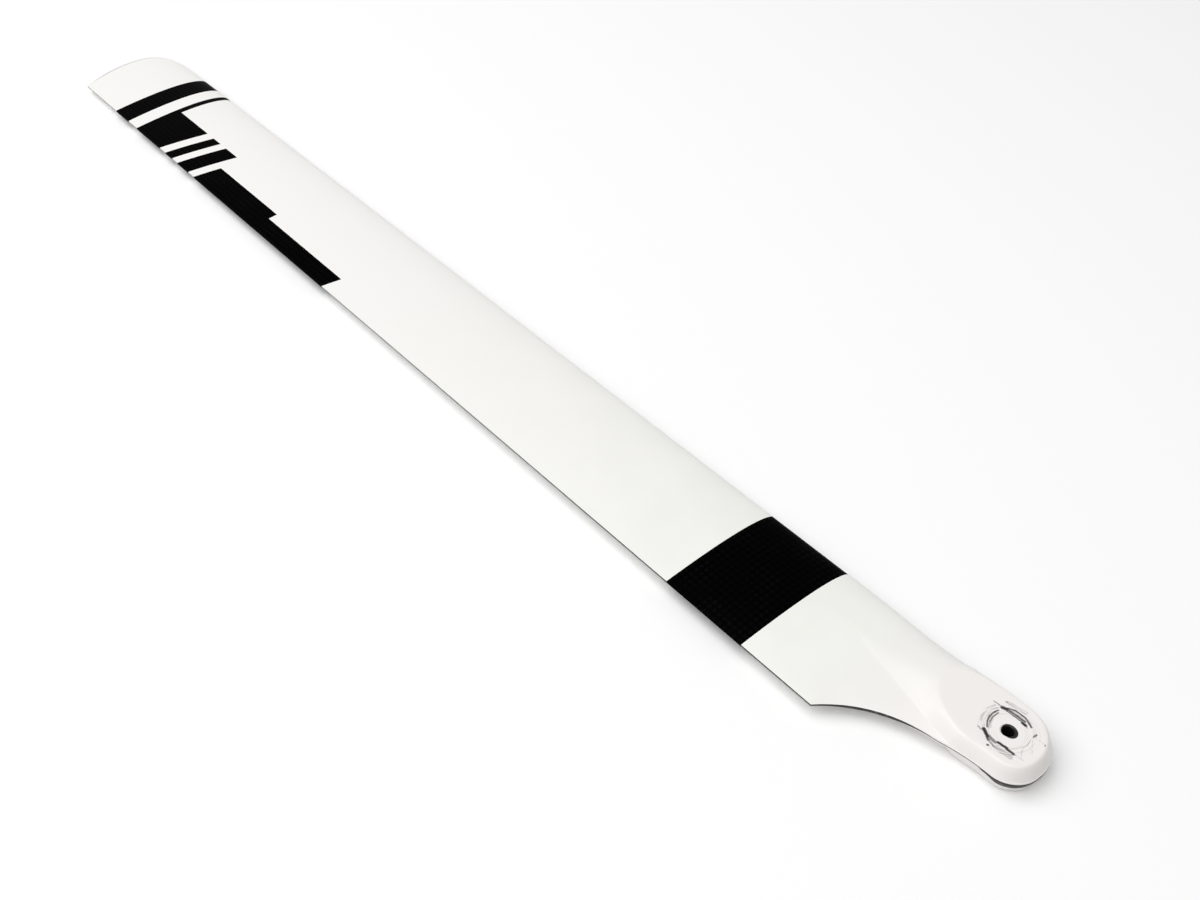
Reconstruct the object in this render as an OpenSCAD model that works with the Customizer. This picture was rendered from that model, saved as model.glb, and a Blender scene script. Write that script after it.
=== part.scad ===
// Main rotor blade of a model helicopter, moulded in one piece.
// The origin is the centre of the bolt hole at mid thickness, +X runs to the tip,
// +Y to the trailing edge and +Z along the bolt.

/* [Blade] */
// Reach from the bolt hole to the trailing corner of the tip
reach = 700; // [600:5:760]
// Chord from the leading edge to the trailing edge
chord = 62; // [56:0.5:68]
// Distance of the leading edge ahead of the bolt hole
lead_reach = 18; // [16:0.2:19]
// Greatest thickness of the blade section
section_t = 9.1; // [7:0.1:11]
// Thickness left along the trailing edge
trail_t = 0.9; // [0.6:0.1:1.4]

/* [Tip] */
// How far the tip stands out past its trailing corner
tip_rake = 11.4; // [6:0.2:16]
// Length of the round leading corner along the blade
tip_corner_l = 34; // [25:1:60]
// Width of the round leading corner across the chord
tip_corner_w = 27; // [20:1:36]
// Width of the band in which the tip thins out to its rim
tip_band = 8; // [4:0.5:16]

/* [Root] */
// Thickness of the root, which fills the grip
root_t = 14; // [12:0.5:18]
// Distance from the bolt hole to the end of the root
root_end = 18.3; // [17:0.1:22]
// Distance from the bolt hole to the leading flank of the root
root_lead = 17.9; // [17.2:0.1:20]
// Distance from the bolt hole to the trailing flank of the root
root_trail = 16.2; // [15.4:0.1:18]
// Radius of the leading corner of the root end
root_lead_r = 19.7; // [16:0.1:20.5]
// Radius of the trailing corner of the root end
root_trail_r = 12.2; // [9:0.1:13.4]
// Width of the sloping, rounded side round the root
root_edge = 3.3; // [2.4:0.1:4]
// Place along the blade where the flat grip pad starts to narrow
pad_x = 7; // [6:0.5:9]
// Place along the blade of the nose of the grip pad
pad_nose = 32.5; // [28:0.5:38]
// Offset of the nose of the grip pad towards the leading edge
pad_shift = 3; // [0:0.1:4]
// Depth of the neck in the leading edge beside the root
neck_dip = 1.4; // [0:0.1:2]

/* [Fairing] */
// Place along the blade where the ridge rises out of the trailing flank
ridge_x = 11.5; // [10:0.5:15]
// Place along the blade where the fairing runs out into the blade section
tongue_x = 80; // [72:1:96]
// Height of the ridge where it starts
ridge_z = 1; // [0.8:0.1:2.5]
// Distance of the ridge from the flank where it starts
ridge_inset = 0.4; // [0.3:0.05:0.8]

/* [Root cut-out] */
// Place along the blade where the cut-out meets the trailing edge
cut_x = 57.5; // [52:0.5:66]
// Place along the blade where the cut-out meets the trailing flank
cut_start = 16; // [14:0.1:17]
// Rise of the trailing flank up to the cut-out
flank_rise = 3; // [2:0.1:4]
// Radius of the cut-out
cut_r = 58; // [50:1:90]
// Thickness of the edge along the cut-out
cut_t = 1.5; // [1:0.1:2]

/* [Bolt hole] */
// Diameter of the bolt hole
bolt_d = 5; // [3:0.5:8]
// Depth and width of the chamfer at each mouth of the bolt hole
bolt_chamfer = 0.6; // [0.3:0.05:1.2]

/* [Hidden] */
// Overrun of the hole past the faces that it cuts
cut_over = 1;

// Terms of a symmetric section, per unit of thickness: root of u, u, u^2, u^3, u^4
foil_shares = [1.4845, -0.63, -1.758, 1.4215, -0.518];
// Share of the chord at which the section is thickest
thick_share = 0.3;
// Shares of the chord for the seams between the groups of columns on the plain blade
seam_shares = [0.2, 0.42, 0.62];
// Roundness of the leading and trailing sides of the pad's nose, and of the leading edge
pad_lead_n = 2.2;
pad_trail_n = 1.7;
nose_n = 2.2;
// Roundness of the leading corner of the tip
tip_n = 2.6;
// Share of the width of the root's side over which it is round before it falls straight
side_soft = 0.6;
// Fall of the fairing's crown, bend of the ridge, and profiles of its foot and of the panel
crown_n = 1.5;
ridge_bend_share = 0.34;
ridge_bend_n = 6;
foot_n = 3;
panel_n = 0.85;
// Share of the fairing's length over which it stays a fairing before it turns into the section
fair_share = 0.6;
// Smallest half width of the crown, and smallest width of the fairing's side
crown_min = root_edge / 2;
side_min = root_edge;

root_half = root_t / 2;
trail_y = chord - lead_reach;
thick_y = thick_share * chord - lead_reach;
// Centres of the two round corners of the root end
lead_c = [root_lead_r - root_end, root_lead_r - root_lead];
trail_c = [root_trail_r - root_end, root_trail - root_trail_r];
// Centre of the cut-out's arc, from its two ends and its radius
cut_a = [cut_start, root_trail + flank_rise];
cut_b = [cut_x, trail_y];
cut_half = norm(cut_b - cut_a) / 2;
cut_sink = sqrt(cut_r * cut_r - cut_half * cut_half);
cut_c = (cut_a + cut_b) / 2 + cut_sink * [cut_a[1] - cut_b[1], cut_b[0] - cut_a[0]] / (2 * cut_half);
// The neck lies midway between the pad's nose and the end of the fairing's plain part
neck_x = (pad_nose + cut_x) / 2;
// The tip's outline: start of its round corner, and where the loft to the outline starts
tip_x = reach + tip_rake;
tip_c_y = tip_corner_w - lead_reach;
tip_start = tip_x - tip_corner_l - 2 * tip_band;
// Beyond this place the blade has one section up to the tip
plain_x = tongue_x + (tongue_x - cut_x);

// Columns from the leading edge: nose, crown, side of the fairing and trailing panel
n_nose = 9;
n_crown = 6;
n_side = 6;
n_panel = 9;
seam_1 = n_nose;
seam_2 = seam_1 + n_crown;
seam_3 = seam_2 + n_side;
cols = seam_3 + n_panel;
// Rows round the root end, along the pad, the cut-out and the run-out, and at the tip
n_end = 11;
n_pad = 9;
n_cut = 9;
n_run = 6;
n_tip = 10;
end_n = 2.6;
tip_row_n = 2.2;

function mix(a, b, k) = a + (b - a) * k;
function clip(k) = min(max(k, 0), 1);
function ease(k) = clip(k) * clip(k) * (3 - 2 * clip(k));
function ramp(x, a, b) = ease((x - a) / (b - a));
// Height share of a rounded edge at share k of its width
function rounded(k, n) = pow(1 - pow(1 - clip(k), n), 1 / n);
// Fall of the root's side at share k of its width: round at first, then straight
function drop(k) =
    let (c = clip(k))
    (c < side_soft ? c * c / side_soft : 2 * c - side_soft) / (2 - side_soft);

// Half thickness of the blade section at distance y from the bolt line
function foil_z(y) =
    let (u = clip((y + lead_reach) / chord), f = foil_shares)
    (section_t - thick_share * trail_t) * (f[0] * sqrt(u) + u * (f[1] + u * (f[2] + u * (f[3] + u * f[4]))))
    + trail_t / 2 * u;

// Leading edge of the outline
function lead_y(x) =
    -mix(root_lead, lead_reach, ramp(x, pad_x, neck_x))
    + neck_dip * ramp(x, pad_x, neck_x) * (1 - ramp(x, neck_x, tongue_x));

// Trailing edge of the outline: flank of the root, cut-out and straight edge
function side_y(x) =
    x >= cut_x ? trail_y
    : x >= cut_start ? cut_c[1] - sqrt(max(cut_r * cut_r - pow(x - cut_c[0], 2), 0))
    : x >= trail_c[0] ? root_trail + flank_rise * pow((x - trail_c[0]) / (cut_start - trail_c[0]), 2)
    : root_trail;

// Half thickness of the outline's trailing edge
function edge_z(x) = mix(cut_t, trail_t, ramp(x, neck_x, cut_x)) / 2;

// End of the tip at distance y from the bolt line
function tip_end(y) =
    y > tip_c_y ? tip_x - tip_rake * pow((y - tip_c_y) / (trail_y - tip_c_y), 2)
    : tip_x - tip_corner_l * (1 - pow(1 - pow(clip((tip_c_y - y) / tip_corner_w), tip_n), 1 / tip_n));

// Line of the crown, height of the crown, and the two edges of the pad
function crown_y(x) = mix(-pad_shift, thick_y, ramp(x, pad_nose, tongue_x));
function crown_z(x) =
    mix(section_t / 2, root_half, pow(1 - clip((x - pad_nose) / (tongue_x - pad_nose)), crown_n));
function pad_arc(x, n) = pow(1 - pow(clip((x - pad_x) / (pad_nose - pad_x)), n), 1 / n);
function pad_lead(x) =
    crown_y(x) - max(crown_min, (root_lead - root_edge - pad_shift) * pad_arc(x, pad_lead_n));
function pad_trail(x) =
    crown_y(x) + max(crown_min, (side_y(pad_x) - root_edge + pad_shift) * pad_arc(x, pad_trail_n));

// Ridge between the side of the fairing and the trailing panel
function ridge_line(x) =
    let (k = clip((x - ridge_x) / (tongue_x - ridge_x)), b = ridge_bend_share)
    mix(side_y(ridge_x) - ridge_inset, thick_y, (1 - b) * k + b * pow(k, ridge_bend_n));
function ridge_y(x) =
    max(min(side_y(x) - ridge_inset, ridge_line(x)), pad_trail(x) + side_min * ramp(x, pad_x, ridge_x));
function ridge_top(x) = mix(ridge_z, foil_z(ridge_y(x)), ramp(x, ridge_x, cut_x));

// Distance of a seam between two groups of columns from the bolt line
function seam_y(x, root_y, i) =
    mix(root_y, seam_shares[i] * chord - lead_reach, ramp(x, cut_x, plain_x));

// Distance of column j from the bolt line, at place x along the blade
function col_y(x, j) =
    let (a = seam_y(x, pad_lead(x), 0), b = seam_y(x, pad_trail(x), 1), c = seam_y(x, ridge_y(x), 2))
    j <= seam_1 ? mix(lead_y(x), a, pow(j / n_nose, 2))
    : j <= seam_2 ? mix(a, b, (j - seam_1) / n_crown)
    : j <= seam_3 ? mix(b, c, (j - seam_2) / n_side)
    : mix(c, side_y(x), (j - seam_3) / n_panel);

// Half thickness of the root fairing outboard of the pad's widest place. Its trailing side falls
// to the edge beside the pad, and farther out to the ridge, from which the panel runs to the edge.
function fairing_z(x, y) =
    let (top = crown_z(x), a = pad_lead(x), b = pad_trail(x), c = ridge_y(x), d = side_y(x),
        e = edge_z(x), k = (y - lead_y(x)) / (a - lead_y(x)), foot = clip((y - b) / (c - b)),
        wall = mix(top, 0, drop((y - b) / (d - b))),
        side = mix(top, ridge_top(x), mix(drop(foot), pow(foot, foot_n), ramp(x, pad_nose, tongue_x))),
        panel = mix(e, ridge_top(x), pow(clip((d - y) / (d - c)), panel_n)))
    y <= a ? top * mix(1 - drop(1 - k), rounded(k, nose_n), ramp(x, pad_x, pad_nose))
    : y <= b ? top
    : max(e, mix(wall, y <= c ? side : panel, ramp(x, pad_x, 2 * ridge_x - pad_x)));

// Half thickness of the blade from the pad outwards
function body_z(x, y) =
    mix(fairing_z(x, y), foil_z(y), ramp(x, mix(pad_nose, tongue_x, fair_share), plain_x));

// Point of the root end's outline at share k, from the leading to the trailing flank
function end_point(k) =
    let (a = root_lead_r * PI / 2, b = trail_c[1] - lead_c[1], c = root_trail_r * PI / 2,
        s = k * (a + b + c))
    s <= a ? lead_c - root_lead_r * [sin(90 * s / a), cos(90 * s / a)]
    : s <= a + b ? [-root_end, lead_c[1] + s - a]
    : trail_c + root_trail_r * [-cos(90 * (s - a - b) / c), sin(90 * (s - a - b) / c)];

// Distance of a point of the root from the outline round it
function rim_gap(p) =
    p[0] < lead_c[0] && p[1] < lead_c[1] ? root_lead_r - norm(p - lead_c)
    : p[0] < trail_c[0] && p[1] > trail_c[1] ? root_trail_r - norm(p - trail_c)
    : min(p[0] + root_end, p[1] + root_lead, side_y(p[0]) - p[1]);

// Place in plan of column j, at share s of the way from the pad's widest place to the root end.
// The trailing flank is slightly hollow, and the columns beside it follow it.
function end_place(s, j) =
    let (p = mix([pad_x, col_y(pad_x, j)], end_point(j / cols), s),
        straight = mix(side_y(pad_x), root_trail, (pad_x - p[0]) / (pad_x - trail_c[0])),
        hollow = p[0] > trail_c[0] ? straight - side_y(p[0]) : 0)
    [p[0], p[1] - hollow * clip(p[1] / straight)];

// One row holds its columns as [x, y, half thickness], with no thickness at the leading edge
function end_row(s) = [for (j = [0:cols])
    let (p = end_place(s, j))
    [p[0], p[1], j == 0 ? 0 : max(edge_z(p[0]), root_half * (1 - drop(1 - rim_gap(p) / root_edge)))]];
function body_row(x) = [for (j = [0:cols])
    let (y = col_y(x, j))
    [x, y, j == 0 ? 0 : body_z(x, y)]];
function tip_row(s) = [for (j = [0:cols])
    let (y = col_y(plain_x, j), end = tip_end(y), x = mix(tip_start, end, s), z = foil_z(y))
    [x, y, j == 0 ? 0 : mix(min(z, trail_t / 2), z, rounded((end - x) / tip_band, 2))]];

rows = [
    for (i = [n_end:-1:1]) end_row(1 - pow(1 - i / n_end, end_n)),
    for (i = [0:n_pad - 1]) body_row(mix(pad_x, pad_nose, i / n_pad)),
    for (i = [0:n_cut - 1]) body_row(mix(pad_nose, cut_x, i / n_cut)),
    for (i = [0:n_run]) body_row(mix(cut_x, plain_x, i / n_run)),
    for (i = [0:n_tip]) tip_row(1 - pow(1 - i / n_tip, tip_row_n))
];

// A ring runs over the top from the leading to the trailing edge and back below
ring = 2 * cols + 1;
function ring_points(row) = concat(
    row,
    [for (j = [cols:-1:1]) [row[j][0], row[j][1], -row[j][2]]]);
function at(i, k) = i * ring + k % ring;

skin_points = [for (row = rows) each ring_points(row)];
last = len(rows) - 1;
skin_faces = [
    for (i = [0:last - 1], k = [0:ring - 1])
        each [[at(i, k), at(i + 1, k), at(i + 1, k + 1)], [at(i, k), at(i + 1, k + 1), at(i, k + 1)]],
    for (k = [0:cols - 1])
        each rim_faces(0, k),
    for (k = [0:cols - 1])
        each [for (f = rim_faces(last, k)) [f[2], f[1], f[0]]]
];
// Rim of row i between columns k and k + 1, which closes the root end or the tip
function rim_faces(i, k) =
    let (a = at(i, k), b = at(i, k + 1), c = at(i, ring - k - 1), d = at(i, ring - k))
    k == 0 ? [[a, b, c]] : [[a, b, c], [a, c, d]];

module bolt_hole() {
    tall = root_t + 2 * cut_over;
    cylinder(d = bolt_d, h = tall, center = true, $fn = 96);
    for (side = [0, 180])
        rotate([side, 0, 0])
            translate([0, 0, root_half - bolt_chamfer])
                cylinder(
                    r1 = bolt_d / 2,
                    r2 = bolt_d / 2 + bolt_chamfer + cut_over,
                    h = bolt_chamfer + cut_over,
                    $fn = 96);
}

// The whole blade: root block, fairing, constant section and raked tip
module blade() {
    color([0.95, 0.95, 0.94])
        difference() {
            polyhedron(points = skin_points, faces = skin_faces, convexity = 6);
            bolt_hole();
        }
}

blade();
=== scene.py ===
import math

import bmesh
import bpy
from mathutils import Matrix, Vector


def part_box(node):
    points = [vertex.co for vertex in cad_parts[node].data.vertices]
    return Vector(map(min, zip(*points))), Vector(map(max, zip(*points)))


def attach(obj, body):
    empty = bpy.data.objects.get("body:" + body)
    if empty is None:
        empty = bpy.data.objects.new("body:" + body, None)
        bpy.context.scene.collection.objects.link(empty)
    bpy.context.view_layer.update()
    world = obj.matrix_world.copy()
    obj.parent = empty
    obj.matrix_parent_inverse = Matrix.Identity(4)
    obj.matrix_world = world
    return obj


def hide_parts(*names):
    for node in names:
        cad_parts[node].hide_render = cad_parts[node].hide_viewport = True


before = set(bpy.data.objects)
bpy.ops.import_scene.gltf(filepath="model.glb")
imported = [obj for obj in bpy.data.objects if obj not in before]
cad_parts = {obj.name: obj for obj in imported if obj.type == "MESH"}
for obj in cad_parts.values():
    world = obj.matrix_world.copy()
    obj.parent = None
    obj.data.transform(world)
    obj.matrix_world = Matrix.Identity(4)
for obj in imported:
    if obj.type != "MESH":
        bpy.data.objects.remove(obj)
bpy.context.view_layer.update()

# The blade itself
# A main rotor blade for a model helicopter, moulded in one piece in a split mould from carbon
# cloth over a foam core. Its root is a thick block that fills the blade grip, and a fairing
# runs out from there into a plain symmetric section with a raked, round tip.
MM = 0.001
blade_low, blade_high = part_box("blade")

reach = 700 * MM
chord = 62 * MM
lead_reach = 18 * MM
section_t = 9.1 * MM
trail_t = 0.9 * MM
tip_rake = 11.4 * MM
tip_corner_l = 34 * MM
tip_corner_w = 27 * MM
tip_band = 8 * MM
root_half = blade_high.z
root_end = -blade_low.x
root_lead = 17.9 * MM
root_trail = 16.2 * MM
root_lead_r = 19.7 * MM
root_trail_r = 12.2 * MM
root_edge = 3.3 * MM
pad_x = 7 * MM
pad_nose = 32.5 * MM
pad_shift = 3 * MM
neck_dip = 1.4 * MM
ridge_x = 11.5 * MM
tongue_x = 80 * MM
ridge_z = 1 * MM
ridge_inset = 0.4 * MM
cut_x = 57.5 * MM
cut_start = 16 * MM
flank_rise = 3 * MM
cut_r = 58 * MM
cut_t = 1.5 * MM

# Terms of the section's curve, shares of the chord, and powers that make the curves fuller
foil_shares = (1.4845, -0.63, -1.758, 1.4215, -0.518)
thick_share = 0.3
seam_shares = (0.2, 0.42, 0.62)
pad_lead_n, pad_trail_n, nose_n, tip_n = 2.2, 1.7, 2.2, 2.6
crown_n, side_soft, foot_n, panel_n = 1.5, 0.6, 3, 0.85
ridge_bend_share, ridge_bend_n = 0.34, 6
fair_share = 0.6

crown_min = root_edge / 2
side_min = root_edge
trail_y = chord - lead_reach
thick_y = thick_share * chord - lead_reach
lead_c = Vector((root_lead_r - root_end, root_lead_r - root_lead))
trail_c = Vector((root_trail_r - root_end, root_trail - root_trail_r))
cut_a = Vector((cut_start, root_trail + flank_rise))
cut_b = Vector((cut_x, trail_y))
cut_half = (cut_b - cut_a).length / 2
cut_side = Vector((cut_a.y - cut_b.y, cut_b.x - cut_a.x)).normalized()
cut_c = (cut_a + cut_b) / 2 + math.sqrt(cut_r ** 2 - cut_half ** 2) * cut_side
neck_x = (pad_nose + cut_x) / 2
tip_x = reach + tip_rake
tip_c_y = tip_corner_w - lead_reach
tip_start = tip_x - tip_corner_l - 2 * tip_band
plain_x = tongue_x + (tongue_x - cut_x)


def mix(a, b, k):
    return a + (b - a) * k


def clip(k):
    return min(max(k, 0.0), 1.0)


def ramp(x, a, b):
    """Smooth rise from 0 to 1 while x goes from a to b."""
    k = clip((x - a) / (b - a))
    return k * k * (3 - 2 * k)


def rounded(k, n):
    """Height share of a rounded edge at share k of its width."""
    return (1 - (1 - clip(k)) ** n) ** (1 / n)


def drop(k):
    """Fall of a side at share k of its width: round at first, then straight."""
    k = clip(k)
    return (k * k / side_soft if k < side_soft else 2 * k - side_soft) / (2 - side_soft)


def foil_z(y):
    """Half thickness of the plain section at distance y from the bolt line."""
    u = clip((y + lead_reach) / chord)
    f = foil_shares
    curve = f[0] * math.sqrt(u) + u * (f[1] + u * (f[2] + u * (f[3] + u * f[4])))
    return (section_t - thick_share * trail_t) * curve + trail_t / 2 * u


def lead_y(x):
    """Leading edge of the outline, with its slight neck beside the root."""
    neck = neck_dip * ramp(x, pad_x, neck_x) * (1 - ramp(x, neck_x, tongue_x))
    return neck - mix(root_lead, lead_reach, ramp(x, pad_x, neck_x))


def side_y(x):
    """Trailing side of the outline: root flank, hollow cut-out and straight trailing edge."""
    if x >= cut_x:
        return trail_y
    if x >= cut_start:
        return cut_c.y - math.sqrt(max(cut_r ** 2 - (x - cut_c.x) ** 2, 0.0))
    if x >= trail_c.x:
        return root_trail + flank_rise * ((x - trail_c.x) / (cut_start - trail_c.x)) ** 2
    return root_trail


def edge_z(x):
    """Half thickness of the trailing edge, which is thicker along the cut-out."""
    return mix(cut_t, trail_t, ramp(x, neck_x, cut_x)) / 2


def tip_end(y):
    """End of the tip at distance y from the bolt line."""
    if y > tip_c_y:
        return tip_x - tip_rake * ((y - tip_c_y) / (trail_y - tip_c_y)) ** 2
    k = clip((tip_c_y - y) / tip_corner_w)
    return tip_x - tip_corner_l * (1 - (1 - k ** tip_n) ** (1 / tip_n))


def crown_y(x):
    """Middle line of the pad, and of the tongue that runs from it to the thickest line."""
    return mix(-pad_shift, thick_y, ramp(x, pad_nose, tongue_x))


def crown_z(x):
    """Height of the pad, and of the tongue that falls from its nose."""
    k = clip((x - pad_nose) / (tongue_x - pad_nose))
    return mix(section_t / 2, root_half, (1 - k) ** crown_n)


def pad_arc(x, n):
    """Share of its full width that the pad keeps at place x, down to none at its nose."""
    return (1 - clip((x - pad_x) / (pad_nose - pad_x)) ** n) ** (1 / n)


def pad_lead(x):
    """Leading side of the pad and of the tongue."""
    width = (root_lead - root_edge - pad_shift) * pad_arc(x, pad_lead_n)
    return crown_y(x) - max(crown_min, width)


def pad_trail(x):
    """Trailing side of the pad and of the tongue."""
    width = (side_y(pad_x) - root_edge + pad_shift) * pad_arc(x, pad_trail_n)
    return crown_y(x) + max(crown_min, width)


def ridge_y(x):
    """Ridge between the side of the fairing and the trailing panel."""
    k = clip((x - ridge_x) / (tongue_x - ridge_x))
    bent = (1 - ridge_bend_share) * k + ridge_bend_share * k ** ridge_bend_n
    line = mix(side_y(ridge_x) - ridge_inset, thick_y, bent)
    least = pad_trail(x) + side_min * ramp(x, pad_x, ridge_x)
    return max(min(side_y(x) - ridge_inset, line), least)


def ridge_top(x):
    """Height of the ridge."""
    return mix(ridge_z, foil_z(ridge_y(x)), ramp(x, ridge_x, cut_x))


def seams(x):
    """Distances of the three seams between the groups of columns, at place x."""
    k = ramp(x, cut_x, plain_x)
    plain = [share * chord - lead_reach for share in seam_shares]
    return [mix(a, b, k) for a, b in zip((pad_lead(x), pad_trail(x), ridge_y(x)), plain)]


def body_z(x, y):
    """Half thickness of the blade from the pad outwards."""
    top, a, b, c, d, e = crown_z(x), pad_lead(x), pad_trail(x), ridge_y(x), side_y(x), edge_z(x)
    if y <= a:
        k = (y - lead_y(x)) / (a - lead_y(x))
        z = top * mix(1 - drop(1 - k), rounded(k, nose_n), ramp(x, pad_x, pad_nose))
    elif y <= b:
        z = top
    else:
        wall = mix(top, 0, drop((y - b) / (d - b)))
        foot = clip((y - b) / (c - b))
        slope = mix(top, ridge_top(x), mix(drop(foot), foot ** foot_n, ramp(x, pad_nose, tongue_x)))
        panel = mix(e, ridge_top(x), clip((d - y) / (d - c)) ** panel_n)
        z = max(e, mix(wall, slope if y <= c else panel, ramp(x, pad_x, 2 * ridge_x - pad_x)))
    return mix(z, foil_z(y), ramp(x, mix(pad_nose, tongue_x, fair_share), plain_x))


def end_point(k):
    """Point of the root end's outline at share k, from the leading to the trailing flank."""
    a, c = root_lead_r * math.pi / 2, root_trail_r * math.pi / 2
    b = trail_c.y - lead_c.y
    s = k * (a + b + c)
    if s <= a:
        turn = s / root_lead_r
        return lead_c - root_lead_r * Vector((math.sin(turn), math.cos(turn)))
    if s <= a + b:
        return Vector((-root_end, lead_c.y + s - a))
    turn = (s - a - b) / root_trail_r
    return trail_c + root_trail_r * Vector((-math.cos(turn), math.sin(turn)))


def rim_gap(p):
    """Distance of a point of the root from the outline round it."""
    if p.x < lead_c.x and p.y < lead_c.y:
        return root_lead_r - (p - lead_c).length
    if p.x < trail_c.x and p.y > trail_c.y:
        return root_trail_r - (p - trail_c).length
    return min(p.x + root_end, p.y + root_lead, side_y(p.x) - p.y)


# Columns across the blade and rows along it. The powers draw the rows together towards the end
# of the root and the end of the tip.
n_nose, n_crown, n_side, n_panel = 26, 14, 14, 26
seam_1, seam_2, seam_3 = n_nose, n_nose + n_crown, n_nose + n_crown + n_side
cols = seam_3 + n_panel
n_end, n_pad, n_cut, n_run, n_plain, n_tip = 36, 26, 30, 20, 40, 34
end_n, tip_row_n = 2.6, 2.2


def col_y(x, j):
    """Distance of column j from the bolt line, at place x along the blade."""
    a, b, c = seams(x)
    if j <= seam_1:
        return mix(lead_y(x), a, (j / n_nose) ** 2)
    if j <= seam_2:
        return mix(a, b, (j - seam_1) / n_crown)
    if j <= seam_3:
        return mix(b, c, (j - seam_2) / n_side)
    return mix(c, side_y(x), (j - seam_3) / n_panel)


def end_row(s):
    """Row of the root end, at share s of the way from the pad's widest place to the end."""
    row = []
    for j in range(cols + 1):
        p = Vector((pad_x, col_y(pad_x, j))).lerp(end_point(j / cols), s)
        if p.x > trail_c.x:
            straight = mix(side_y(pad_x), root_trail, (pad_x - p.x) / (pad_x - trail_c.x))
            p.y -= (straight - side_y(p.x)) * clip(p.y / straight)
        z = max(edge_z(p.x), root_half * (1 - drop(1 - rim_gap(p) / root_edge))) if j else 0.0
        row.append(Vector((p.x, p.y, z)))
    return row


def body_row(x):
    """Row straight across the blade at place x."""
    ys = [col_y(x, j) for j in range(cols + 1)]
    return [Vector((x, y, body_z(x, y) if j else 0.0)) for j, y in enumerate(ys)]


def tip_row(s):
    """Row of the tip, at share s of the way from the last straight row to the end."""
    row = []
    for j in range(cols + 1):
        y = col_y(plain_x, j)
        end, full = tip_end(y), foil_z(y)
        x = mix(tip_start, end, s)
        z = mix(min(full, trail_t / 2), full, rounded((end - x) / tip_band, 2)) if j else 0.0
        row.append(Vector((x, y, z)))
    return row


rows = [end_row(1 - (1 - i / n_end) ** end_n) for i in range(n_end, 0, -1)]
rows += [body_row(mix(pad_x, pad_nose, i / n_pad)) for i in range(n_pad)]
rows += [body_row(mix(pad_nose, cut_x, i / n_cut)) for i in range(n_cut)]
rows += [body_row(mix(cut_x, plain_x, i / n_run)) for i in range(n_run)]
rows += [body_row(mix(plain_x, tip_start, i / n_plain)) for i in range(n_plain)]
rows += [tip_row(1 - (1 - i / n_tip) ** tip_row_n) for i in range(n_tip + 1)]

skin = bmesh.new()
rings = []
for row in rows:
    top = [skin.verts.new(p) for p in row]
    below = [skin.verts.new((p.x, p.y, -p.z)) for p in reversed(row[1:])]
    rings.append(top + below)
ring = len(rings[0])
for near, far in zip(rings, rings[1:]):
    for k in range(ring):
        skin.faces.new((near[k], far[k], far[(k + 1) % ring], near[(k + 1) % ring]))
for rim, flip in ((rings[0], False), (rings[-1], True)):
    for k in range(cols):
        corners = [rim[k], rim[k + 1], rim[ring - k - 1]] + ([rim[ring - k]] if k else [])
        skin.faces.new(corners[::-1] if flip else corners)
bmesh.ops.recalc_face_normals(skin, faces=skin.faces)

# Dark fields
# The white is a gelcoat laid in the mould. It is left out over these fields, so that the
# carbon cloth shows there under the clear coat: bands round the tip, stepped blocks along the
# trailing edge and one wide field by the root. The blade's two faces carry the same fields.
tip_band_x = (641.2 * MM, 658.3 * MM)
thin_band_x = (625.3 * MM, 630.0 * MM)
root_field_x = (96.0 * MM, 140.7 * MM)
block_in = 15.9 * MM
step_in = 28.4 * MM
strip_in = 33.6 * MM
step_x = 487.2 * MM
strip_end = 414.2 * MM
slots_x = ((592.0 * MM, 599.3 * MM), (576.7 * MM, 583.4 * MM), (556.3 * MM, 563.2 * MM))
# How far a slot's edge runs towards the root for each length that it runs in from the edge
slot_lean = 0.285
# How far an outline runs past the edge of the blade, and its cuts past the outline
overrun = 5 * MM
cut_slack = MM / 1000


def leaning(x, y):
    """Place along the blade of a leaning edge that starts at x on the trailing edge."""
    return x - slot_lean * (trail_y - y)


def field(x_low, x_high, y_low, lean_low=True, lean_high=True):
    """Corners of a field that runs from y_low out past the trailing edge."""
    y_high = trail_y + overrun
    low = (leaning(x_low, y_low), leaning(x_low, y_high)) if lean_low else (x_low, x_low)
    high = (leaning(x_high, y_low), leaning(x_high, y_high)) if lean_high else (x_high, x_high)
    return [(low[0], y_low), (high[0], y_low), (high[1], y_high), (low[1], y_high)]


past_lead = -lead_reach - overrun
fields = [
    field(*tip_band_x, past_lead, False, False),
    field(*thin_band_x, past_lead, False, False),
    field(*root_field_x, past_lead, False, False),
    field(slots_x[0][1], thin_band_x[1], block_in, True, False),
    field(slots_x[1][1], slots_x[0][0], block_in),
    field(slots_x[2][1], slots_x[1][0], block_in),
    field(step_x, slots_x[2][0], step_in, False, True),
    field(strip_end, step_x, strip_in, True, False),
]


def beside(p, a, b):
    """Above zero where p lies to the left of the line from a to b."""
    return (b[0] - a[0]) * (p.y - a[1]) - (b[1] - a[1]) * (p.x - a[0])


def sides(corners):
    """Sides of an outline, each as its two ends."""
    return zip(corners, corners[1:] + corners[:1])


def cut_round(bm, corners):
    """Cuts the faces near a field along the lines of its outline."""
    xs, ys = [c[0] for c in corners], [c[1] for c in corners]
    for a, b in sides(corners):
        faces = [f for f in bm.faces
                 if min(xs) - overrun < f.calc_center_median().x < max(xs) + overrun
                 and min(ys) - overrun < f.calc_center_median().y < max(ys) + overrun]
        geom = set(faces)
        for f in faces:
            geom.update(f.edges)
            geom.update(f.verts)
        bmesh.ops.bisect_plane(
            bm, geom=list(geom), dist=cut_slack,
            plane_co=(a[0], a[1], 0), plane_no=(a[1] - b[1], b[0] - a[0], 0))


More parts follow.
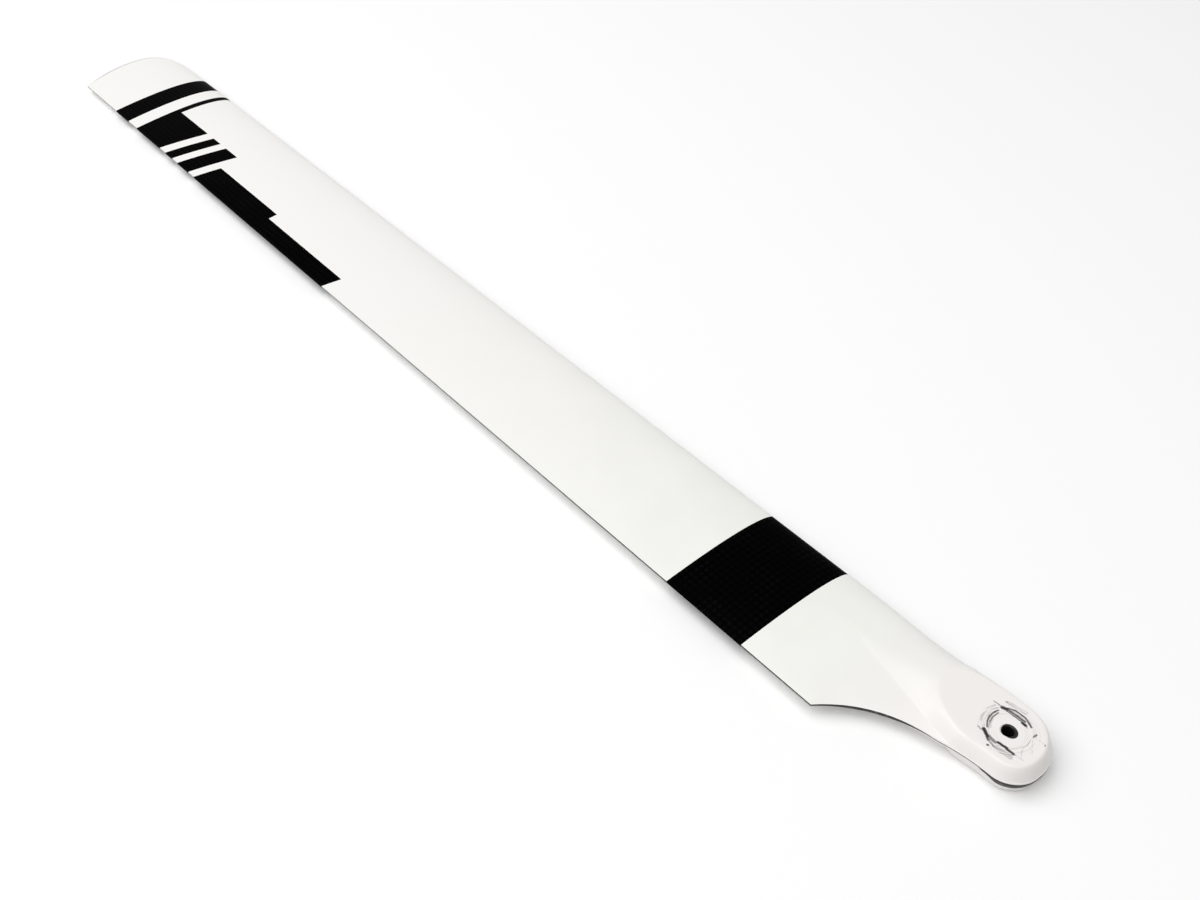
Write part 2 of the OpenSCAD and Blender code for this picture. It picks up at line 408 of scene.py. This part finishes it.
for corners in fields:
    cut_round(skin, corners)
WHITE, CARBON, BARE, RUBBED = 0, 1, 2, 3
for face in skin.faces:
    centre = face.calc_center_median()
    for corners in fields:
        if all(beside(centre, a, b) > 0 for a, b in sides(corners)):
            face.material_index = CARBON

blade_mesh = bpy.data.meshes.new("blade_skin")
skin.to_mesh(blade_mesh)
skin.free()
for name in ("white_gelcoat", "clear_coated_carbon", "bare_carbon", "rubbed_gelcoat"):
    material = bpy.data.materials.new(name)
    material.use_nodes = True
    blade_mesh.materials.append(material)
blade = bpy.data.objects.new("blade_skin", blade_mesh)
bpy.context.scene.collection.objects.link(blade)

# Bolt hole
# The hole for the blade bolt is drilled and chamfered after moulding, so that bare black
# carbon shows in it. The bolt clamps the root between the cheeks of the blade grip.
bolt_r = 2.5 * MM
bolt_chamfer = 0.6 * MM
hole_over = 1 * MM
hole_sides = 96
# How near the middle of a face lies to the wall of the bore, or to the pad's plane, to be in it
bore_slack = MM / 100
pad_slack = MM / 1000
crease_angle = math.radians(32)
profile = [
    (bolt_r + bolt_chamfer + hole_over, root_half + hole_over),
    (bolt_r, root_half - bolt_chamfer),
    (bolt_r, bolt_chamfer - root_half),
    (bolt_r + bolt_chamfer + hole_over, -root_half - hole_over),
]
drill = bmesh.new()
circles = [
    [drill.verts.new((r * math.cos(t), r * math.sin(t), z))
     for t in (2 * math.pi * k / hole_sides for k in range(hole_sides))]
    for r, z in profile]
for upper, lower in zip(circles, circles[1:]):
    for k in range(hole_sides):
        k_next = (k + 1) % hole_sides
        drill.faces.new((upper[k], lower[k], lower[k_next], upper[k_next]))
drill.faces.new(circles[0])
drill.faces.new(circles[-1][::-1])
bmesh.ops.recalc_face_normals(drill, faces=drill.faces)
drill_mesh = bpy.data.meshes.new("drill")
drill.to_mesh(drill_mesh)
drill.free()
drill_object = bpy.data.objects.new("drill", drill_mesh)
bpy.context.scene.collection.objects.link(drill_object)
cut = blade.modifiers.new("bolt_hole", "BOOLEAN")
cut.operation = "DIFFERENCE"
cut.solver = "EXACT"
cut.object = drill_object
bpy.context.view_layer.update()
graph = bpy.context.evaluated_depsgraph_get()
cut_mesh = bpy.data.meshes.new_from_object(blade.evaluated_get(graph))
blade.modifiers.clear()
blade.data = cut_mesh
blade.data.name = "blade_skin"
bpy.data.objects.remove(drill_object)
# The laminate shows bare in the bore. The flat pad and the chamfer are white, but rubbed.
for polygon in blade.data.polygons:
    centre = polygon.center
    on_pad = abs(centre.z) > root_half - pad_slack
    if centre.xy.length < bolt_r + bore_slack:
        polygon.material_index = BARE
    elif on_pad or centre.xy.length < bolt_r + bolt_chamfer:
        polygon.material_index = RUBBED
    polygon.use_smooth = True
blade.data.set_sharp_from_angle(angle=crease_angle)

# White gelcoat
# A thin glossy white layer, a little warm, that comes out of the mould not quite flat. It has a few
# tiny pits, and dirt sits in the seam between the two halves of the mould. Painted shade greys the
# rims that turn away from the light, and darkens the seam at the root's end and along the trailing
# edge.
cloud_white = (0.85, 0.848, 0.812, 1)
clear_white = (0.868, 0.866, 0.83, 1)
root_white = (0.878, 0.85, 0.828, 1)
outer_white = (0.878, 0.866, 0.846, 1)
# Painted shade for the rims that turn away from the light
edge_shade_grey = (0.28, 0.275, 0.27, 1)
pit_dark = (0.12, 0.11, 0.1, 1)
# Dark of the seam: dirt, and painted shade at the root's end and along the trailing edge
seam_dirt_and_shade = (0.02, 0.016, 0.013, 1)
gelcoat_specular = 0.3


def add(tree, kind, inputs, output=0, **settings):
    """Adds a node with its settings and inputs, and returns one of its outputs, if any."""
    node = tree.nodes.new(kind)
    for name, value in settings.items():
        setattr(node, name, value)
    for name, value in inputs.items():
        if isinstance(value, bpy.types.NodeSocket):
            tree.links.new(value, node.inputs[name])
        else:
            node.inputs[name].default_value = value
    return None if output is None else node.outputs[output]


def calc(tree, operation, a, b=0.0):
    """Number worked out from one number or two."""
    return add(tree, "ShaderNodeMath", {0: a, 1: b}, operation=operation)


def times(tree, a, b):
    return calc(tree, "MULTIPLY", a, b)


def steer(tree, operation, a, b=(0, 0, 0), c=(0, 0, 0)):
    """Vector worked out from one, two or three vectors."""
    return add(tree, "ShaderNodeVectorMath", {0: a, 1: b, 2: c}, operation=operation)


def measure(tree, operation, a, b=(0, 0, 0)):
    """Number worked out from one vector or two."""
    return add(tree, "ShaderNodeVectorMath", {0: a, 1: b}, "Value", operation=operation)


def scaled(tree, vector, scale):
    inputs = {0: vector, "Scale": scale}
    return add(tree, "ShaderNodeVectorMath", inputs, operation="SCALE")


def axes(tree, vector):
    """The x, y and z of a vector."""
    node = tree.nodes.new("ShaderNodeSeparateXYZ")
    tree.links.new(vector, node.inputs[0])
    return node.outputs


def fade(tree, value, low, high, to_low=0.0, to_high=1.0):
    """Value that goes smoothly from to_low to to_high while the input goes from low to high."""
    inputs = {"Value": value, "From Min": low, "From Max": high, "To Min": to_low, "To Max": to_high}
    return add(tree, "ShaderNodeMapRange", inputs, interpolation_type="SMOOTHSTEP")


def blend(tree, share, a, b):
    """Colour mixed from a to b."""
    return add(tree, "ShaderNodeMix", {"Factor": share, 6: a, 7: b}, 2, data_type="RGBA")


def noise(tree, place, scale, detail=2.0):
    return add(tree, "ShaderNodeTexNoise", {"Vector": place, "Scale": scale, "Detail": detail})


def place_mm(tree):
    """Place on the blade in millimetres."""
    return scaled(tree, add(tree, "ShaderNodeTexCoord", {}, "Object"), 1 / MM)


gelcoat = bpy.data.node_groups.new("gelcoat", "ShaderNodeTree")
for name, kind in (("Color", "NodeSocketColor"), ("Roughness", "NodeSocketFloat"),
                   ("Normal", "NodeSocketVector")):
    gelcoat.interface.new_socket(name, in_out="OUTPUT", socket_type=kind)
place = place_mm(gelcoat)
x, _, z = axes(gelcoat, place)
face_x, face_y, face_z = axes(gelcoat, add(gelcoat, "ShaderNodeTexCoord", {}, "Normal"))
# The white is cloudy, and changes a little from the root outwards
clouds = fade(gelcoat, noise(gelcoat, place, 0.045, 4.0), 0.35, 0.65)
tone = blend(gelcoat, clouds, cloud_white, clear_white)
near_root = fade(gelcoat, x, 70, 10)
tone = blend(gelcoat, near_root, tone, root_white)
far_out = fade(gelcoat, x, 120, 450)
tone = blend(gelcoat, far_out, tone, outer_white)
# Painted shade: the rim of the tip and the leading side, where they turn away from the light, are
# greyed a little
tip_rim_shade = fade(gelcoat, face_x, 0.08, 0.35, 0.0, 0.75)
tip_rim_shade = times(gelcoat, tip_rim_shade, fade(gelcoat, x, 600, 670))
lead_edge_shade = fade(gelcoat, face_y, -0.55, -0.8, 0.0, 0.4)
tone = blend(gelcoat, calc(gelcoat, "MAXIMUM", tip_rim_shade, lead_edge_shade), tone, edge_shade_grey)
# The pits come in patches
grains = add(gelcoat, "ShaderNodeTexVoronoi", {"Vector": place, "Scale": 0.14}, "Distance")
pits = fade(gelcoat, grains, 0.035, 0.02)
pits = times(gelcoat, pits, fade(gelcoat, noise(gelcoat, place, 0.05), 0.5, 0.6))
tone = blend(gelcoat, times(gelcoat, pits, 0.35), tone, pit_dark)
# A dark line runs along the seam where the side is upright: partly dirt in the seam and on the
# trimmed laminate, partly painted shade. It is thin round the root, reaches lower at the root's end
# as painted shade over the end's lower half, and fills the edge from the cut-out outwards, where the
# laminate is trimmed, with painted shade standing in for the shadow under the edge. It pales towards
# the tip.
wide = fade(gelcoat, x, 16, 42, 0.2, 0.9)
above = calc(gelcoat, "SUBTRACT", z, wide)
below = calc(gelcoat, "SUBTRACT", times(gelcoat, z, -1.0), wide)
# Painted shade: at the root's end the dark reaches 3 mm further down, over the end's lower half
below = calc(gelcoat, "SUBTRACT", below, fade(gelcoat, x, 0, -10, 0.0, 3.0))
seam_and_shade_mask = fade(gelcoat, calc(gelcoat, "MAXIMUM", above, below), 0.1, -0.1)
patchy = fade(gelcoat, noise(gelcoat, place, 0.35, 3.0), 0.2, 0.5, 0.85, 1.0)
paler = fade(gelcoat, x, 80, 600, 1.0, 0.6)
upright = fade(gelcoat, calc(gelcoat, "ABSOLUTE", face_z), 0.8, 0.6)
for share in (patchy, paler, upright):
    seam_and_shade_mask = times(gelcoat, seam_and_shade_mask, share)
tone = blend(gelcoat, seam_and_shade_mask, tone, seam_dirt_and_shade)
rough = fade(gelcoat, noise(gelcoat, place, 0.12, 3.0), 0.3, 0.7, 0.3, 0.4)
waves = noise(gelcoat, place, 0.35, 2.0)
peel = add(gelcoat, "ShaderNodeBump", {"Strength": 0.12, "Distance": 0.05 * MM, "Height": waves})
result = gelcoat.nodes.new("NodeGroupOutput")
for name, value in (("Color", tone), ("Roughness", rough), ("Normal", peel)):
    gelcoat.links.new(value, result.inputs[name])


def gelcoat_in(material):
    """Gives a material the gelcoat and returns its tree, its shader and the gelcoat's node."""
    tree = material.node_tree
    shader = tree.nodes["Principled BSDF"]
    look = tree.nodes.new("ShaderNodeGroup")
    look.node_tree = gelcoat
    for source, socket in (("Color", "Base Color"), ("Roughness", "Roughness"), ("Normal", "Normal")):
        tree.links.new(look.outputs[source], shader.inputs[socket])
    shader.inputs["Specular IOR Level"].default_value = gelcoat_specular
    return tree, shader, look


gelcoat_in(blade.data.materials[WHITE])

# Rubbed gelcoat of the grip pad
# The same gelcoat where washers and grips have rubbed it: rings and gouges full of dark dirt
# round the hole, a little grey over the pad, and a rim chipped down to the black laminate.
pad_white = (0.885, 0.85, 0.83, 1)
halo_grey = (0.2, 0.19, 0.19, 1)
dirt_black = (0.012, 0.011, 0.011, 1)
chip_black = (0.004, 0.004, 0.004, 1)
# Marks up to this darkness are smears. The streaks break them up more than the darker gouges.
smear_most = 0.5
# Half width and darkness of each mark, then the points that it runs through, in millimetres
marks = [
    (0.15, 0.7, (12.2, -6.9), (10.5, -7.1), (8.2, -7.0)),
    (0.5, 1, (8.2, -7.0), (6.6, -7.7)),
    (0.23, 0.6, (9.0, -10.3), (8.5, -10.5)),
    (0.26, 0.95, (6.7, -7.8), (3.5, -8.0), (0.9, -8.2), (-1.4, -8.2)),
    (0.2, 0.85, (6.1, -7.0), (2.6, -7.2), (-1.4, -7.3)),
    (0.24, 0.9, (6.6, -8.4), (4.2, -9.6), (1.8, -9.8), (-0.1, -9.8), (-2.4, -9.0), (-4.5, -7.9)),
    (0.42, 1, (-1.2, -7.0), (-2.6, -7.0)),
    (0.15, 0.7, (-2.6, -7.0), (-3.7, -6.4)),
    (0.5, 0.4, (7.9, -10.7), (4.9, -11.2), (0.9, -11.8)),
    (0.2, 0.9, (8.4, -4.8), (8.8, -2.4), (8.6, 0.3), (7.6, 2.7), (6.0, 4.7)),
    (0.3, 0.4, (9.4, -5.5), (10.0, -3.0), (9.4, 0.4), (8.2, 3.4), (7.0, 5.5)),
    (0.16, 0.85, (7.6, -3.9), (7.7, -1.7), (7.3, 0.9), (6.9, 2.2)),
    (0.3, 0.25, (10.7, -5.7), (11.4, -2.6), (10.8, 1.2), (9.6, 3.8)),
    (0.6, 0.42, (8.2, -2.6), (8.0, 0.4), (5.7, 3.9)),
    (0.2, 0.6, (8.3, 7.2), (8.0, 7.1)),
    (0.14, 0.7, (7.8, 7.2), (5.8, 7.3)),
    (0.44, 1, (6.2, 6.3), (4.4, 7.4), (3.0, 8.1)),
    (0.34, 1, (3.2, 8.4), (1.8, 9.1)),
    (0.4, 0.7, (3.0, 7.6), (1.1, 7.9), (-0.5, 8.1)),
    (0.25, 0.6, (1.6, 9.0), (-1.4, 10.0)),
    (0.34, 1, (-1.1, 7.3), (-3.0, 7.1), (-5.0, 6.8)),
    (0.36, 0.95, (-5.2, 7.2), (-6.8, 7.1), (-8.2, 7.1)),
    (0.13, 0.45, (-8.4, 7.0), (-10.4, 6.8), (-12.0, 6.7)),
    (0.7, 0.5, (-2.2, 9.5), (-5.4, 9.4), (-8.1, 9.0)),
    (0.28, 1, (0.6, 11.2), (0.4, 11.1)),
    (0.07, 0.25, (0.1, 11.2), (-1.5, 11.4)),
    (0.25, 0.8, (-7.9, -5.0), (-7.9, -6.5)),
    (0.36, 1, (-13.4, -5.1), (-13.6, -5.1)),
    (0.15, 0.4, (-7.8, -3.1), (-8.0, -2.9)),
    (0.13, 0.42, (-8.1, -2.4), (-8.8, -0.1), (-8.6, 2.3), (-9.7, 4.4), (-10.8, 6.0)),
    (0.14, 0.22, (-9.0, -3.0), (-10.9, -0.1), (-12.6, 2.0)),
    (0.1, 0.3, (-8.8, -5.4), (-11.2, -5.4), (-13.0, -5.2)),
    (0.17, 0.25, (8.8, -14.9), (8.6, -15.0)),
    (0.25, 0.1, (-10.5, 11.7), (-12.4, 10.7), (-14.0, 8.6), (-15.1, 5.9)),
    (0.7, 0.3, (5.6, -8.7), (2.2, -8.9), (-1.6, -8.3)),
    (0.07, 0.12, (5.8, 1.4), (3.9, 3.8), (0.4, 5.7), (-2.3, 6.2), (-5.4, 5.9), (-7.7, 4.1)),
]
tree, shader, look = gelcoat_in(blade.data.materials[RUBBED])
x, y, z = axes(tree, place_mm(tree))
# The pad below has the marks of the pad above, as the blade turned over would show them
flat_y = times(tree, y, calc(tree, "SIGN", z))
flat = add(tree, "ShaderNodeCombineXYZ", {0: x, 1: flat_y})
# The grip has turned about the bolt, so the streaks run round the hole
from_hole = measure(tree, "LENGTH", flat)
turn = calc(tree, "ARCTAN2", flat_y, x)
round_hole = add(tree, "ShaderNodeCombineXYZ", {0: times(tree, from_hole, 1.7), 1: turn})
streaks = noise(tree, round_hole, 1.0, 5.0)
# Each mark wavers a little to both sides of its line
shake = add(tree, "ShaderNodeTexNoise", {"Vector": flat, "Scale": 0.7, "Detail": 3.0}, "Color")
shake = steer(tree, "SUBTRACT", shake, (0.5, 0.5, 0.5))
spot = steer(tree, "MULTIPLY_ADD", shake, (0.6, 0.6, 0), flat)
gouges, smears = 0.0, 0.0
for half_width, dark, *points in marks:
    for a, b in zip(points, points[1:]):
        run = Vector((b[0] - a[0], b[1] - a[1], 0))
        start = (a[0], a[1], 0)
        from_start = steer(tree, "SUBTRACT", spot, start)
        share = measure(tree, "DOT_PRODUCT", from_start, run / run.length_squared)
        share = add(tree, "ShaderNodeClamp", {"Value": share})
        gap = measure(tree, "DISTANCE", spot, steer(tree, "MULTIPLY_ADD", share, run, start))
        mark = fade(tree, gap, 2.3 * half_width, 0.9 * half_width, 0.0, dark)
        if dark <= smear_most:
            smears = calc(tree, "MAXIMUM", smears, mark)
        else:
            gouges = calc(tree, "MAXIMUM", gouges, mark)
smears = times(tree, smears, fade(tree, streaks, 0.4, 0.58, 0.15, 1.0))
gouges = times(tree, gouges, fade(tree, streaks, 0.3, 0.45, 0.75, 1.0))
dirt = calc(tree, "MAXIMUM", gouges, smears)
# A ring of light grey streaks shows where the washer sat
halo = times(tree, fade(tree, from_hole, 5.8, 7.5), fade(tree, from_hole, 13.0, 9.5))
halo = times(tree, halo, fade(tree, streaks, 0.45, 0.7, 0.0, 0.3))
tone = blend(tree, 0.6, look.outputs["Color"], pad_white)
tone = blend(tree, halo, tone, halo_grey)
tone = blend(tree, dirt, tone, dirt_black)
# The chip is an oval round the hole, wider than the bore on the side of the root's end
chip_middle = (-0.65, -0.2, 0)
chip_turn = math.radians(162)
chip_long, chip_short = 3.5, 2.9
long_axis = Vector((math.cos(chip_turn), math.sin(chip_turn), 0)) / chip_long
short_axis = Vector((-math.sin(chip_turn), math.cos(chip_turn), 0)) / chip_short
from_chip = steer(tree, "SUBTRACT", flat, chip_middle)
along = measure(tree, "DOT_PRODUCT", from_chip, long_axis)
across = measure(tree, "DOT_PRODUCT", from_chip, short_axis)
oval = calc(tree, "ADD", times(tree, along, along), times(tree, across, across))
tone = blend(tree, fade(tree, oval, 1.08, 0.94), tone, chip_black)
tree.links.new(tone, shader.inputs["Base Color"])

# Carbon cloth under the clear coat
# Plain-woven carbon cloth laid at 45 degrees against the twisting of the blade, under a glossy clear
# coat: almost black, with the weave just visible through a painted sheen on the upper tows.
tow_width = 2.1
cloth_angle = math.radians(45)
cloth_dark = (0.0004, 0.0004, 0.0004, 1)
# Lighter tone of the painted sheen on the upper tows
cloth_sheen = (0.0034, 0.0032, 0.0032, 1)
cloth_specular = 0.004
tree = blade.data.materials[CARBON].node_tree
shader = tree.nodes["Principled BSDF"]
place = place_mm(tree)
turned = add(tree, "ShaderNodeVectorRotate", {"Vector": place, "Angle": cloth_angle},
             rotation_type="Z_AXIS")
weave = scaled(tree, turned, 1 / tow_width)
cell = steer(tree, "FLOOR", weave)
cell_u, cell_v, _ = axes(tree, cell)
u, v, _ = axes(tree, steer(tree, "SUBTRACT", weave, cell))
# One set of tows lies on top at every second crossing, and a painted sheen makes it lighter there
over = calc(tree, "FLOORED_MODULO", calc(tree, "ADD", cell_u, cell_v), 2.0)


def hump(value):
    """One in the middle of a tow and zero at its two sides."""
    return times(tree, times(tree, value, calc(tree, "SUBTRACT", 1.0, value)), 4.0)


tow_high = times(tree, calc(tree, "SQRT", hump(u)), calc(tree, "SQRT", hump(v)))
strands = noise(tree, steer(tree, "MULTIPLY", weave, (0.4, 6.0, 1.0)), 1.0, 3.0)
tow_sheen = times(tree, times(tree, tow_high, over), fade(tree, strands, 0.3, 0.7, 0.55, 1.0))
patches = fade(tree, noise(tree, place, 0.06, 2.0), 0.35, 0.7, 0.35, 1.0)
tone = blend(tree, times(tree, tow_sheen, patches), cloth_dark, cloth_sheen)
rough = fade(tree, tow_sheen, 0.0, 1.0, 0.2, 0.3)
relief = add(tree, "ShaderNodeBump", {"Strength": 0.06, "Distance": 0.03 * MM, "Height": tow_high})
tree.links.new(tone, shader.inputs["Base Color"])
tree.links.new(rough, shader.inputs["Roughness"])
tree.links.new(relief, shader.inputs["Normal"])
shader.inputs["Specular IOR Level"].default_value = cloth_specular

# Bare laminate
# The wall of the bore is cut by the drill through black carbon cloth and resin. The plies show
# in it as fine level lines, and it is matt.
ply_dark = (0.002, 0.002, 0.002, 1)
ply_light = (0.009, 0.009, 0.008, 1)
ply_specular = 0.1
tree = blade.data.materials[BARE].node_tree
shader = tree.nodes["Principled BSDF"]
plies = noise(tree, steer(tree, "MULTIPLY", place_mm(tree), (0.15, 0.15, 5.0)), 1.0, 3.0)
tone = blend(tree, fade(tree, plies, 0.35, 0.65), ply_dark, ply_light)
rough = fade(tree, plies, 0.3, 0.7, 0.55, 0.8)
tree.links.new(tone, shader.inputs["Base Color"])
tree.links.new(rough, shader.inputs["Roughness"])
shader.inputs["Specular IOR Level"].default_value = ply_specular

# The finished skin takes the place of the CAD blade
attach(blade, "root")
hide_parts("blade")

# Floor
# A plain pale studio sweep. The blade lies on it as it comes to rest, on the end of its root
# pad and on the thickest line of its tip, so the floor tilts a little against the blade.
floor_half = 6.0
floor_white = (0.93, 0.93, 0.93, 1)
tip_rest_x = tip_x - tip_band
rest_slope = math.atan2(root_half - section_t / 2, tip_rest_x - pad_nose)
floor_mesh = bpy.data.meshes.new("floor")
corners = [(side * floor_half, end * floor_half, 0)
           for side, end in ((-1, -1), (1, -1), (1, 1), (-1, 1))]
floor_mesh.from_pydata(corners, [], [(0, 1, 2, 3)])
floor = bpy.data.objects.new("floor", floor_mesh)
bpy.context.scene.collection.objects.link(floor)
floor.matrix_world = (Matrix.Translation((pad_nose, 0, -root_half))
                      @ Matrix.Rotation(-rest_slope, 4, "Y"))
floor_material = bpy.data.materials.new("pale_floor")
floor_material.use_nodes = True
tree = floor_material.node_tree
tree.nodes.clear()


def in_view(tree):
    """One for what the camera sees, straight or in a mirror or glass, and zero for the light."""
    rays = tree.nodes.new("ShaderNodeLightPath").outputs
    mirrored = calc(tree, "MAXIMUM", rays["Is Glossy Ray"], rays["Is Transmission Ray"])
    return calc(tree, "MAXIMUM", rays["Is Camera Ray"], mirrored)


# The sweep looks white far out too, where the softbox no longer reaches
away = measure(tree, "LENGTH", add(tree, "ShaderNodeTexCoord", {}, "Object"))
lift = times(tree, in_view(tree), fade(tree, away, 0.9, 4.0, 0.065, 0.7))
lit = add(tree, "ShaderNodeBsdfDiffuse", {"Color": floor_white})
glow = add(tree, "ShaderNodeEmission", {"Color": (1, 1, 1, 1), "Strength": lift})
both = add(tree, "ShaderNodeAddShader", {0: lit, 1: glow})
add(tree, "ShaderNodeOutputMaterial", {"Surface": both}, None)
floor.data.materials.append(floor_material)

# Light
# Soft studio light: a pale room all round, and one wide softbox high over the trailing edge.
# It lights the fairing's side and the trailing flank, and leaves the end of the root darker.
room_lights, room_looks = 0.345, 1.0
softbox_side = 3.2
softbox_watts = 69
softbox_offset = Vector((0.35, 0.9, 2.3))

world = bpy.data.worlds.new("studio")
bpy.context.scene.world = world
world.use_nodes = True
tree = world.node_tree
room = tree.nodes["Background"].inputs
room["Color"].default_value = (1, 1, 1, 1)
# The room lights the blade softly, and looks white
strength = add(tree, "ShaderNodeMapRange",
               {"Value": in_view(tree), "To Min": room_lights, "To Max": room_looks})
tree.links.new(strength, room["Strength"])

blade_middle = Vector((reach / 2, thick_y, 0))
softbox = bpy.data.lights.new("softbox", "AREA")
softbox.shape = "RECTANGLE"
softbox.size = softbox_side
softbox.size_y = softbox_side
softbox.energy = softbox_watts
softbox_object = bpy.data.objects.new("softbox", softbox)
softbox_object.location = blade_middle + softbox_offset
softbox_object.rotation_euler = (-softbox_offset).to_track_quat("-Z", "Y").to_euler()
bpy.context.scene.collection.objects.link(softbox_object)

# Camera
# The photographer stands at the root, on the trailing side, and looks along the blade and
# down at it.
camera_place = Vector((-162.4, 337.2, 432.1)) * MM
camera_aim = Vector((222.6, 12.5, 0.0)) * MM
camera_roll = math.radians(1.28)
focal_pixels, photo_width = 1450.5, 1200
sensor_width = 36
camera = bpy.data.cameras.new("camera")
camera.sensor_fit = "HORIZONTAL"
camera.sensor_width = sensor_width
camera.lens = sensor_width * focal_pixels / photo_width
camera.clip_start = 10 * MM
camera_object = bpy.data.objects.new("camera", camera)
toward = (camera_aim - camera_place).to_track_quat("-Z", "Y").to_matrix().to_4x4()
camera_object.matrix_world = (Matrix.Translation(camera_place) @ toward
                              @ Matrix.Rotation(camera_roll, 4, "Z"))
bpy.context.scene.collection.objects.link(camera_object)
bpy.context.scene.camera = camera_object

bpy.context.scene.view_settings.view_transform = "Standard"
